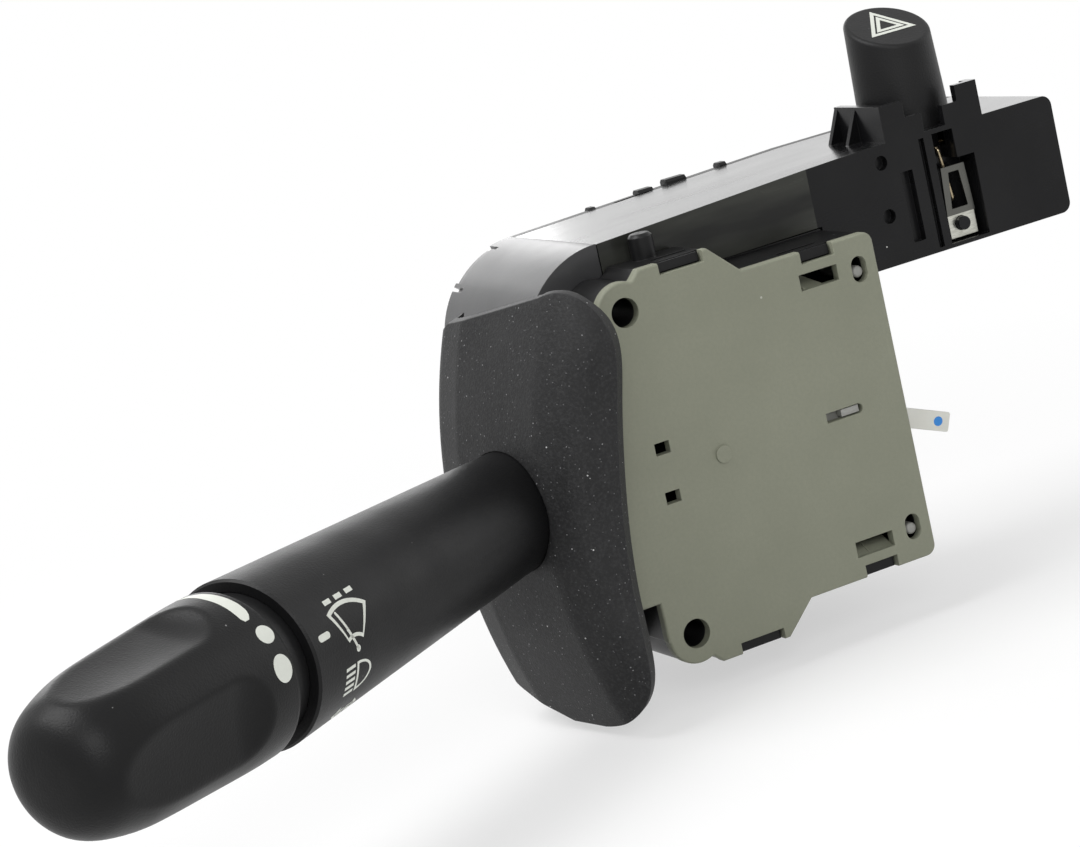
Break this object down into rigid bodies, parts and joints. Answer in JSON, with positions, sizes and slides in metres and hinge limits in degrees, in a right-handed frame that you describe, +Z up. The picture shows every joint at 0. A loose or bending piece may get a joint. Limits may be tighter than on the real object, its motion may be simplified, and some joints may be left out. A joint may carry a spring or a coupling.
{
  "type": "combination stalk switch",
  "caption": "Steering-column combination switch: turn-signal lever with a rotary wiper knob, grained lever shroud, column-mount plate and a hazard push button on a side box.",
  "frame": {"origin": "midway between the two column screw holes, on the outer face of the cover plate", "axes": "+X along the plate towards the hazard box, +Y into the column away from the driver, +Z up"},
  "size_m": [0.2432, 0.1293, 0.1061],
  "materials": {
    "plate": "fine spark-eroded matt",
    "housing": "smooth satin",
    "shield": "fine grain",
    "stalk": "satin",
    "knob": "satin",
    "button": "satin",
    "white_plastic": "smooth acetal",
    "inner_plastic": "smooth",
    "board": "laminate",
    "contact_metal": "bare",
    "spring_steel": "bright"
  },
  "bodies": {
    "switch_body": {"cover_plate": "plate", "front_housing": "housing", "rear_housing": "housing", "end_cover": "housing", "arm_housing": "housing", "arm_back_cover": "housing", "rear_cover": "housing", "connector_socket": "housing", "connector_pins": "contact_metal", "terminal_board": "board", "fixed_contacts": "contact_metal", "detent_track": "white_plastic", "hazard_contact_spring": "spring_steel", "hazard_latch_wire": "spring_steel", "hazard_spring": "spring_steel", "hazard_terminals": "contact_metal", "lock_pins": "white_plastic", "pawl_spring": "spring_steel"},
    "carrier": {"turn_carrier": "inner_plastic", "flash_pivot_pin": "spring_steel", "detent_spring": "spring_steel", "flash_spring": "spring_steel"},
    "detent": {"detent_plunger": "white_plastic"},
    "turn_switch": {"turn_slider": "white_plastic", "turn_contacts": "contact_metal"},
    "lever": {"lever_yoke": "inner_plastic", "lever_stalk": "stalk", "lever_shield": "shield", "knob_bearing": "stalk", "wiper_contact_disc": "contact_metal", "washer_spring": "spring_steel"},
    "dimmer_switch": {"dimmer_slider": "white_plastic"},
    "washer": {"washer_rod": "spring_steel"},
    "knob": {"end_knob": "knob", "wiper_rotor": "white_plastic"},
    "hazard": {"hazard_button": "button", "hazard_plunger": "inner_plastic", "hazard_bridge": "contact_metal"},
    "pawl_slide": {"pawl_holder": "white_plastic"},
    "pawl": {"cancel_pawl": "white_plastic"}
  },
  "joints": [
    {"name": "turn_hinge", "type": "hinge", "parent": "switch_body", "child": "carrier", "pos_m": [0.0124, 0.03, 0], "axis": [0, -1, 0], "range_deg": [-12, 12]},
    {"name": "detent_slide", "type": "slide", "parent": "carrier", "child": "detent", "axis": [-1, 0, 0], "range_m": [0, 0.0012], "stiffness_N_per_m": 1500, "springref_m": -0.002, "deforming": ["detent_spring"]},
    {"name": "turn_switch_slide", "type": "slide", "parent": "switch_body", "child": "turn_switch", "axis": [0, 0, 1], "range_m": [-0.004, 0.004]},
    {"name": "flash_hinge", "type": "hinge", "parent": "carrier", "child": "lever", "pos_m": [0.0124, 0.03, 0.00125], "axis": [0, 0, 1], "range_deg": [0, 7], "stiffness_Nm_per_rad": 1.2, "springref_deg": -8.59, "deforming": ["flash_spring"]},
    {"name": "dimmer_slide", "type": "slide", "parent": "carrier", "child": "dimmer_switch", "axis": [0, 1, 0], "range_m": [0, 0.0019]},
    {"name": "washer_push", "type": "slide", "parent": "lever", "child": "washer", "axis": [0.8508, 0.5255, 0], "range_m": [0, 0.003], "stiffness_N_per_m": 1200, "springref_m": -0.003, "deforming": ["washer_spring"]},
    {"name": "knob_turn", "type": "hinge", "parent": "washer", "child": "knob", "pos_m": [-0.11522, -0.04882, 0.00125], "axis": [-0.8508, -0.5255, 0], "range_deg": [-20, 80]},
    {"name": "hazard_push", "type": "slide", "parent": "switch_body", "child": "hazard", "axis": [0, 0, -1], "range_m": [0, 0.0035], "stiffness_N_per_m": 700, "springref_m": -0.004, "deforming": ["hazard_spring"]},
    {"name": "pawl_retract", "type": "slide", "parent": "switch_body", "child": "pawl_slide", "axis": [-1, 0, 0], "range_m": [0, 0.003], "stiffness_N_per_m": 400, "springref_m": -0.002, "deforming": ["pawl_spring"]},
    {"name": "pawl_swing", "type": "hinge", "parent": "pawl_slide", "child": "pawl", "pos_m": [0.0387, 0.0078, 0], "axis": [0, -1, 0], "range_deg": [0, 43]}
  ],
  "couplings": [
    {"joint": "turn_switch_slide", "follows": "turn_hinge", "m_per_rad": 0.0186},
    {"joint": "dimmer_slide", "follows": "flash_hinge", "m_per_rad": 0.0142}
  ]
}
